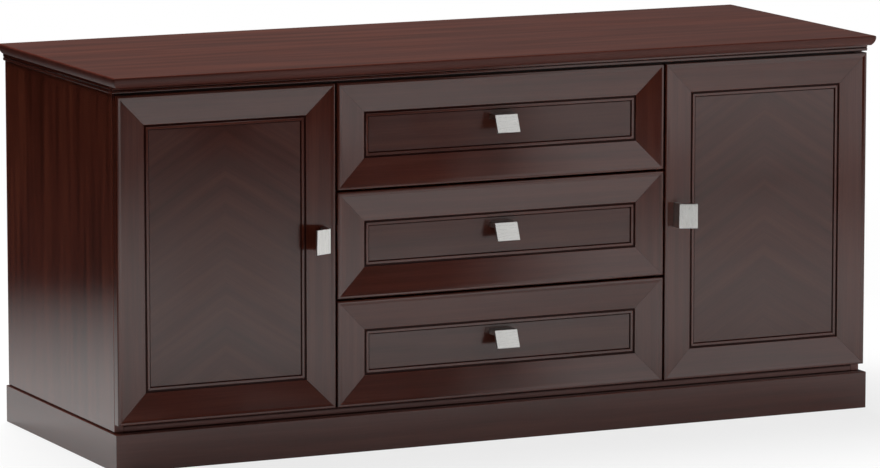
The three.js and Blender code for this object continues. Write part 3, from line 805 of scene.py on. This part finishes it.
def prism(corners, length, ease):
    """A length of metal with this section, centred along its own z axis, all arrises eased."""
    points, wear_and_light = eased(corners)
    metal = bmesh.new()
    grain = metal.verts.layers.float_vector.new("grain")
    wear_and_painted_light = metal.verts.layers.float.new("wear_and_painted_light")
    inward = []
    for i, point in enumerate(points):
        before = (point - points[i - 1]).normalized()
        after = (points[(i + 1) % len(points)] - point).normalized()
        turn = Vector((-before.y - after.y, before.x + after.x))
        inward.append(turn / (1 + before.dot(after)))
    half, ease = length / 2, ease * MM
    bend = 1 - math.sqrt(0.5)
    rings = []
    for inset, along in (
        (ease, -half), (bend * ease, -half + bend * ease), (0, -half + ease),
        (0, half - ease), (bend * ease, half - bend * ease), (ease, half)):
        ring = []
        for point, way, rubbed_and_lit in zip(points, inward, wear_and_light):
            at = point + way * inset
            vert = metal.verts.new((at.x, at.y, along))
            vert[grain] = Vector((along, at.x, at.y))
            vert[wear_and_painted_light] = 1.0 if 0 < inset < ease else rubbed_and_lit
            ring.append(vert)
        rings.append(ring)
    for lower, upper in zip(rings, rings[1:]):
        for i in range(len(points)):
            face = metal.faces.new((lower[i - 1], lower[i], upper[i], upper[i - 1]))
            face.smooth = any(vert[wear_and_painted_light] > 0 for vert in face.verts)
    metal.faces.new(rings[0])
    metal.faces.new(rings[-1])
    bmesh.ops.recalc_face_normals(metal, faces=metal.faces[:])
    return metal


def pull_section(seat_fall):
    """A pull's section in millimetres: x from the leg's outer face towards the plate's free
    edge, y out from the seat."""
    run = PULL_PLATE * math.cos(PULL_LEAN)
    reach = PULL_STAND + PULL_PLATE * math.sin(PULL_LEAN)
    back_x, back_y = PULL_THICK * math.sin(PULL_LEAN), PULL_THICK * math.cos(PULL_LEAN)
    meet = PULL_STAND - back_y + (PULL_LEG - back_x) * math.tan(PULL_LEAN)
    return (
        (0, 0, 0), (PULL_LEG, -seat_fall, 0), (PULL_LEG, meet, INNER_ROUND),
        (run + back_x, reach - back_y, PULL_EASE), (run, reach, PULL_EASE),
        (0, PULL_STAND, PULL_EASE))


def set_pull(node, body, across, seat, seat_fall):
    """Stand a pull on its seat, its plate running out along across."""
    metal = prism(pull_section(seat_fall), PULL_LONG, PULL_EASE)
    metal.transform(placed(seat, across, -BACK, across.cross(-BACK)))
    made = cut_out(f"{node}_plated", metal, satin_nickel)
    fit(made, body, node)


for level in (1, 2, 3):
    node = f"drawer_{level}_pull"
    low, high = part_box(node)
    set_pull(node, f"drawer_{level}", -UP, Vector((0, high.y, high.z)), 0)
for hand, across in (("left", -RIGHT), ("right", RIGHT)):
    node = f"{hand}_door_pull"
    low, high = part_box(node)
    leg = high.x if hand == "left" else low.x
    seat = Vector((leg, high.y - SEAT_FALL * MM, (low.z + high.z) / 2))
    set_pull(node, f"{hand}_door", across, seat, SEAT_FALL)


# Hinges. Concealed cup hinges of pressed, plated steel: a cup let into each door's stile under
# an oval flange, and an arm on a plate screwed to the side panel. Two to a door.
CUP_WALL = 1.2 * MM
CUP_CHAMFER, CUP_INNER_RISE, CUP_INNER_RUN = 2 * MM, 2.5 * MM, 3 * MM
CUP_SIDES = 40
FLANGE_LONG, FLANGE_WIDE, FLANGE_THICK, FLANGE_PROUD = 50, 24, 1.2, 0.3
FLANGE_FLAT, FLANGE_EASE, FLANGE_BIT = 0.5, 0.2, 10 * MM
ARM_EASE = 1.0
# The arm and its plate in millimetres: in from the side panel, and back from its front edge.
ARM_SECTION = (
    (1, -10.2, 3), (13, -10.2, 3), (13, 60, 4), (3, 60, 0), (3, 72, 0.8), (0, 72, 0.8),
    (0, 22, 0.8), (1, 22, 0))


def plated(name, cloud_wide, detail, dark, pale, sharp, dull):
    """Plated steel: an even grey shine, with slow clouds in its tone and its gloss."""
    finish = blank(name)
    tree = finish.node_tree
    spot = add(tree, "ShaderNodeTexCoord").outputs["Object"]
    cloud = add(tree, "ShaderNodeTexNoise", {
        "Vector": spot, "Scale": 1 / cloud_wide, "Detail": detail})
    tint = add(tree, "ShaderNodeValToRGB", {"Fac": cloud})
    stops(tint, (0.3, dark), (0.7, pale))
    gloss = add(tree, "ShaderNodeMapRange", {"Value": cloud, "To Min": sharp, "To Max": dull})
    skin = add(tree, "ShaderNodeBsdfPrincipled", {
        "Base Color": tint, "Metallic": 1.0, "Roughness": gloss})
    add(tree, "ShaderNodeOutputMaterial", {"Surface": skin})
    return finish


# Pressed sheet with a bright plating, clouded where the tool bent it.
plated_steel = plated("plated_steel", 9 * MM, 3.0, "#9A9A99", "#B9B9B7", 0.2, 0.38)
for hand, across in (("left", RIGHT), ("right", -RIGHT)):
    for level in CUP_PLACES:
        node = f"{hand}_door_hinge_cup_{level}"
        low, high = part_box(node)
        outer, deep = (high.x - low.x) / 2, high.y - low.y
        middle = Vector(((low.x + high.x) / 2, high.y, (low.z + high.z) / 2))
        cup = bmesh.new()
        wall = [(0, -deep), (outer - CUP_CHAMFER, -deep), (outer, -deep + CUP_CHAMFER),
                (outer, 0), (outer - CUP_WALL, 0), (outer - CUP_WALL, -deep + CUP_INNER_RISE),
                (outer - CUP_INNER_RUN, -deep + CUP_WALL), (0, -deep + CUP_WALL)]
        verts = [cup.verts.new((radius, back, 0)) for radius, back in wall]
        rim = [cup.edges.new(pair) for pair in zip(verts, verts[1:])]
        bmesh.ops.spin(cup, geom=verts + rim, cent=(0, 0, 0), axis=BACK, angle=math.tau,
                       steps=CUP_SIDES, use_merge=True)
        bmesh.ops.remove_doubles(cup, verts=cup.verts[:], dist=0.01 * MM)
        bmesh.ops.recalc_face_normals(cup, faces=cup.faces[:])
        for face in cup.faces:
            face.smooth = abs(face.normal.y) < 0.9
        cup.transform(Matrix.Translation(middle))
        made = cut_out(f"{node}_pressed", cup, plated_steel)
        fit(made, f"{hand}_door", node)

        half_long, half_wide = FLANGE_LONG / 2, FLANGE_WIDE / 2
        corner = half_wide - FLANGE_FLAT
        plate = prism((
            (-half_long, -half_wide, corner), (half_long, -half_wide, corner),
            (half_long, half_wide, corner), (-half_long, half_wide, corner)),
            FLANGE_THICK * MM, FLANGE_EASE)
        lift = BACK * (FLANGE_PROUD - FLANGE_THICK / 2) * MM
        plate.transform(placed(middle + lift, UP, RIGHT, -BACK))
        flange = cut_out(f"{node}_flange", plate, plated_steel)
        cut(flange, drill_bit(f"{node}_bit", middle, outer - CUP_WALL, FLANGE_BIT, CUP_SIDES))
        fit(flange, f"{hand}_door")

        node = f"hinge_arm_{hand}_{level}"
        low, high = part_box(node)
        foot = Vector((low.x if hand == "left" else high.x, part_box("partition_left")[0].y,
                       (low.z + high.z) / 2))
        arm = prism(ARM_SECTION, high.z - low.z, ARM_EASE)
        arm.transform(placed(foot, across, BACK, across.cross(BACK)))
        made = cut_out(f"{node}_pressed", arm, plated_steel)
        fit(made, "carcass", node)


# Screws. Small zinc plated heads with a cross recess: they hold the hinge plates, runners,
# back and pulls. Each body's screws are one piece.
SCREW_HEAD = 7 * MM
SCREW_PROUD = 1.1 * MM
SCREW_SIDES, SCREW_SEED = 20, 4
# Shares of the head's diameter: its flat crown, and the recess's blades. The recess's middle
# lies at this share of the head's height.
CROWN, BLADE_LONG, BLADE_WIDE = 0.36, 0.52, 0.13
RECESS_AT = 0.85
HINGE_PLATE, HINGE_SCREW_FROM_END = 3 * MM, 6 * MM
RUNNER_SCREWS, RUNNER_SCREW_SUNK = (0.06, 0.5, 0.94), 0.8 * MM
BACK_SCREW_INSET = 9 * MM
BACK_SCREWS_WIDE, BACK_SCREWS_HIGH = 9, 4
FLANGE_SCREW_OUT, FLANGE_SCREW_SUNK = 21 * MM, 0.4 * MM
PULL_SCREW_OUT, PULL_SCREW_SUNK = 16 * MM, 0.6 * MM
# A Random Value node's sockets for plain numbers, by place.
RANDOM_MAX, RANDOM_OUT = 3, 1

# Bright passivated zinc: pale grey with a faint warm bloom.
zinc_plate = plated("zinc_plated_steel", 6 * MM, 2.0, "#A6A39A", "#BDBBB6", 0.28, 0.42)

screw_tree, screw_sockets = geometry_tree("screw_heads", "Screws", {
    "Places": "Geometry", "Head Diameter": "Float", "Head Height": "Float", "Seed": "Int",
    "Finish": "Material"})
screw_in = add(screw_tree, "NodeGroupInput").outputs
radius, crown, slot_long, slot_wide = [add(screw_tree, "ShaderNodeMath", {
    0: screw_in["Head Diameter"], 1: share}, operation="MULTIPLY")
    for share in (0.5, CROWN, BLADE_LONG, BLADE_WIDE)]
head = add(screw_tree, "GeometryNodeMeshCone", {
    "Vertices": SCREW_SIDES, "Radius Top": crown, "Radius Bottom": radius,
    "Depth": screw_in["Head Height"]})
blades = []
for long, wide in (("X", "Y"), ("Y", "X")):
    blade = add(screw_tree, "ShaderNodeCombineXYZ", {
        long: slot_long, wide: slot_wide, "Z": screw_in["Head Height"]})
    blades.append(add(screw_tree, "GeometryNodeMeshCube", {"Size": blade}))
lifted = add(screw_tree, "ShaderNodeMath", {
    0: screw_in["Head Height"], 1: RECESS_AT}, operation="MULTIPLY")
lifted = add(screw_tree, "ShaderNodeCombineXYZ", {"Z": lifted})
cross = add(screw_tree, "GeometryNodeJoinGeometry", {"Geometry": blades[0]})
screw_tree.links.new(blades[1].outputs["Mesh"], cross.inputs["Geometry"])
cross = add(screw_tree, "GeometryNodeTransform", {
    "Geometry": cross, "Translation": lifted})
recessed = add(screw_tree, "GeometryNodeMeshBoolean", {
    "Mesh 1": head, "Mesh 2": cross, "Self Intersection": True},
    operation="DIFFERENCE", solver="EXACT")
facing = add(screw_tree, "GeometryNodeInputNamedAttribute", {"Name": "facing"},
             data_type="FLOAT_VECTOR")
upright = add(screw_tree, "FunctionNodeAlignRotationToVector", {"Vector": facing}, axis="Z")
angle = add(screw_tree, "FunctionNodeRandomValue", {
    RANDOM_MAX: math.pi, "Seed": screw_in["Seed"]}, data_type="FLOAT")
spun = add(screw_tree, "ShaderNodeCombineXYZ", {"Z": angle.outputs[RANDOM_OUT]})
spun = add(screw_tree, "FunctionNodeEulerToRotation", {"Euler": spun})
driven = add(screw_tree, "FunctionNodeRotateRotation", {
    "Rotation": upright, "Rotate By": spun}, rotation_space="LOCAL")
row = add(screw_tree, "GeometryNodeInstanceOnPoints", {
    "Points": screw_in["Places"], "Instance": recessed, "Rotation": driven})
real = add(screw_tree, "GeometryNodeRealizeInstances", {"Geometry": row})
coated = add(screw_tree, "GeometryNodeSetMaterial", {
    "Geometry": real, "Material": screw_in["Finish"]})
add(screw_tree, "NodeGroupOutput", {"Screws": coated})


def drive(name, places, body):
    """Drive a screw at each place, a point on the surface and the way its head faces."""
    mesh = bpy.data.meshes.new(name)
    mesh.from_pydata([point for point, way in places], [], [])
    ways = [turn for point, way in places for turn in way]
    mesh.attributes.new("facing", "FLOAT_VECTOR", "POINT").data.foreach_set("vector", ways)
    made = grow(name, mesh, screw_tree, screw_sockets, {
        "Head Diameter": SCREW_HEAD, "Head Height": SCREW_PROUD, "Seed": SCREW_SEED,
        "Finish": zinc_plate})
    fit(made, body)


carcass_screws = []
for hand, across in (("left", RIGHT), ("right", -RIGHT)):
    for level in CUP_PLACES:
        low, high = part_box(f"hinge_arm_{hand}_{level}")
        plate = (low.x if hand == "left" else high.x) + across.x * HINGE_PLATE
        spot = Vector((plate, high.y - HINGE_SCREW_FROM_END, (low.z + high.z) / 2))
        carcass_screws.append((spot, across))
for node in RUNNERS:
    low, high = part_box(node)
    inward = RIGHT if node.endswith("left") else -RIGHT
    face = high.x if node.endswith("left") else low.x
    for share in RUNNER_SCREWS:
        spot = Vector((face - inward.x * RUNNER_SCREW_SUNK, low.y + share * (high.y - low.y),
                       (low.z + high.z) / 2))
        carcass_screws.append((spot, inward))
low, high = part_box("back_panel")
for i in range(BACK_SCREWS_WIDE + 1):
    across = low.x + BACK_SCREW_INSET + i / BACK_SCREWS_WIDE * (
        high.x - low.x - 2 * BACK_SCREW_INSET)
    for edge in (low.z + BACK_SCREW_INSET, high.z - BACK_SCREW_INSET):
        carcass_screws.append((Vector((across, high.y, edge)), BACK))
partitions = [sum((corner.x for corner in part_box(f"partition_{hand}"))) / 2
              for hand in ("left", "right")]
for i in range(1, BACK_SCREWS_HIGH):
    rise = low.z + i / BACK_SCREWS_HIGH * (high.z - low.z)
    for across in partitions:
        carcass_screws.append((Vector((across, high.y, rise)), BACK))
drive("carcass_screws", carcass_screws, "carcass")

for hand in ("left", "right"):
    places = []
    for level in CUP_PLACES:
        low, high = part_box(f"{hand}_door_hinge_cup_{level}")
        middle = (low + high) / 2
        for out in (-FLANGE_SCREW_OUT, FLANGE_SCREW_OUT):
            spot = Vector((middle.x, high.y - FLANGE_SCREW_SUNK, middle.z + out))
            places.append((spot, BACK))
    low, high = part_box(f"{hand}_door_pull")
    leg = high.x - PULL_LEG / 2 * MM if hand == "left" else low.x + PULL_LEG / 2 * MM
    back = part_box(f"{hand}_door_meeting_stile")[1].y
    for out in (-PULL_SCREW_OUT, PULL_SCREW_OUT):
        rise = (low.z + high.z) / 2 + out
        places.append((Vector((leg, back - PULL_SCREW_SUNK, rise)), BACK))
    drive(f"{hand}_door_screws", places, f"{hand}_door")

for level in (1, 2, 3):
    low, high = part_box(f"drawer_{level}_pull")
    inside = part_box(f"drawer_{level}_box")[0].y + BOX_WALL
    rise = high.z - PULL_LEG / 2 * MM
    places = [(Vector((out, inside, rise)), BACK) for out in (-PULL_SCREW_OUT, PULL_SCREW_OUT)]
    drive(f"drawer_{level}_screws", places, f"drawer_{level}")


# Floor. A wide strip of matt white board, laid across the view on a dark studio floor. The
# camera sees white all round; the lacquer mirrors the strip, and the dark beyond its edges.
FLOOR_RADIUS, FLOOR_SIDES = 30, 96
STRIP_TURN = math.radians(-65)
# Where each edge of the strip starts to show, and where it is fully white.
STRIP_BACK, STRIP_FRONT, STRIP_LEFT = (-2.3, -0.4), (4.6, 2.2), (-2.6, -1.2)
TONE_DRIFT = 0.4
# Near the credenza the camera still sees a share of the lit board, and so of its shadow.
SHADOW_KEPT_TO, SHADOW_GONE_BY, NEAR_WHITE = 1.0, 3.2, 0.75
MIRRORED_WHITE = 0.2

sheet = bmesh.new()
bmesh.ops.create_circle(sheet, cap_ends=True, segments=FLOOR_SIDES, radius=FLOOR_RADIUS)
floor = blank("matt_white_board")
tree = floor.node_tree
spot = add(tree, "ShaderNodeTexCoord").outputs["Object"]
tooth = add(tree, "ShaderNodeTexNoise", {"Vector": spot, "Scale": 1 / TONE_DRIFT, "Detail": 3.0})
tint = add(tree, "ShaderNodeValToRGB", {"Fac": tooth})
stops(tint, (0.3, "#E0E0E0"), (0.7, "#E8E8E7"))
turned = add(tree, "ShaderNodeVectorRotate", {
    "Vector": spot, "Angle": -STRIP_TURN}, rotation_type="Z_AXIS")
turned = add(tree, "ShaderNodeSeparateXYZ", {"Vector": turned})
fades = [add(tree, "ShaderNodeMapRange", {
    "Value": turned.outputs[axis], "From Min": end, "From Max": white})
    for axis, (end, white) in (("X", STRIP_BACK), ("X", STRIP_FRONT), ("Y", STRIP_LEFT))]
strip = add(tree, "ShaderNodeMath", {0: fades[0], 1: fades[1]}, operation="MINIMUM")
strip = add(tree, "ShaderNodeMath", {0: strip, 1: fades[2]}, operation="MINIMUM")
seen = add(tree, "ShaderNodeLightPath").outputs
pale = add(tree, "ShaderNodeMath", {
    0: strip, 1: seen["Is Camera Ray"]}, operation="MAXIMUM")
laid = add(tree, "ShaderNodeMix", {
    MIX_BY: pale, MIX_FROM: linear("#1C1C1E"), MIX_TO: tint}, data_type="RGBA")
matt = add(tree, "ShaderNodeBsdfDiffuse", {"Color": laid.outputs[MIXED]})
away = add(tree, "ShaderNodeVectorMath", {0: spot}, operation="LENGTH")
lifted = add(tree, "ShaderNodeMapRange", {
    "Value": away.outputs["Value"], "From Min": SHADOW_KEPT_TO, "From Max": SHADOW_GONE_BY,
    "To Min": NEAR_WHITE, "To Max": 1.0})
mirrored = add(tree, "ShaderNodeMath", {
    0: seen["Is Glossy Ray"], 1: seen["Is Transmission Ray"]})
for share in (strip, MIRRORED_WHITE):
    mirrored = add(tree, "ShaderNodeMath", {0: mirrored, 1: share}, operation="MULTIPLY")
shown = add(tree, "ShaderNodeMath", {
    0: seen["Is Camera Ray"], 1: lifted, 2: mirrored}, operation="MULTIPLY_ADD")
white = add(tree, "ShaderNodeEmission", {"Strength": 1.0})
both = add(tree, "ShaderNodeMixShader", {0: shown, 1: matt, 2: white})
add(tree, "ShaderNodeOutputMaterial", {"Surface": both})
cut_out("studio_floor", sheet, floor)


# Studio light. One soft lamp high behind the credenza lights its top, and one above the floor
# washes the strip in front. A tall one at the front right is the only one that the lacquer
# mirrors, so it grades the fronts. The room beyond them is dark grey.
ROOM_GREY = "#464648"
# Each lamp's place, what it points at, its size, its power in watts and its spread in degrees.
LAMPS = (
    ("behind", (-0.6, 1.7, 3.6), (0.0, -0.3, 0.3), (3.6, 3.0), 285, 180),
    ("floor_wash", (0.5, -2.3, 3.6), (0.5, -2.3, 0.0), (4.6, 2.4), 44, 60),
    ("front_right", (3.36, -3.0, 2.0), (2.94, -2.1, 2.0), (3.6, 4.0), 59, 180),
)
for name, at, aim, (wide, tall), watts, spread in LAMPS:
    lamp = bpy.data.lights.new(name, "AREA")
    lamp.shape = "RECTANGLE"
    lamp.size, lamp.size_y = wide, tall
    lamp.energy = watts
    lamp.spread = math.radians(spread)
    made = new_object(name, lamp)
    made.location = at
    made.rotation_euler = (Vector(aim) - Vector(at)).to_track_quat("-Z", "Y").to_euler()
    made.visible_camera = False
    made.visible_glossy = name == "front_right"
room = bpy.data.worlds.new("dark_room")
room.use_nodes = True
room.node_tree.nodes["Background"].inputs["Color"].default_value = linear(ROOM_GREY)
bpy.context.scene.world = room


# Camera. A long lens, far off, a little above the top and to the left of the front. Its place
# was fitted to the straight edges in the photo.
VIEW_AZIMUTH, VIEW_ELEVATION = math.radians(-24.98), math.radians(8.7595)
VIEW_TARGET = Vector((-0.002914, 0.000168, 0.364313))
VIEW_DISTANCE = 11.08234
LENS, SENSOR, FAR_CLIP = 229.466, 36, 100
camera = new_object("photo_camera", bpy.data.cameras.new("photo_camera"))
camera.data.lens = LENS
camera.data.sensor_width = SENSOR
camera.data.clip_end = FAR_CLIP
toward = Vector((
    math.sin(VIEW_AZIMUTH) * math.cos(VIEW_ELEVATION),
    -math.cos(VIEW_AZIMUTH) * math.cos(VIEW_ELEVATION),
    math.sin(VIEW_ELEVATION)))
camera.location = VIEW_TARGET + toward * VIEW_DISTANCE
camera.rotation_euler = (-toward).to_track_quat("-Z", "Y").to_euler()
bpy.context.scene.camera = camera
bpy.context.scene.view_settings.view_transform = "Standard"
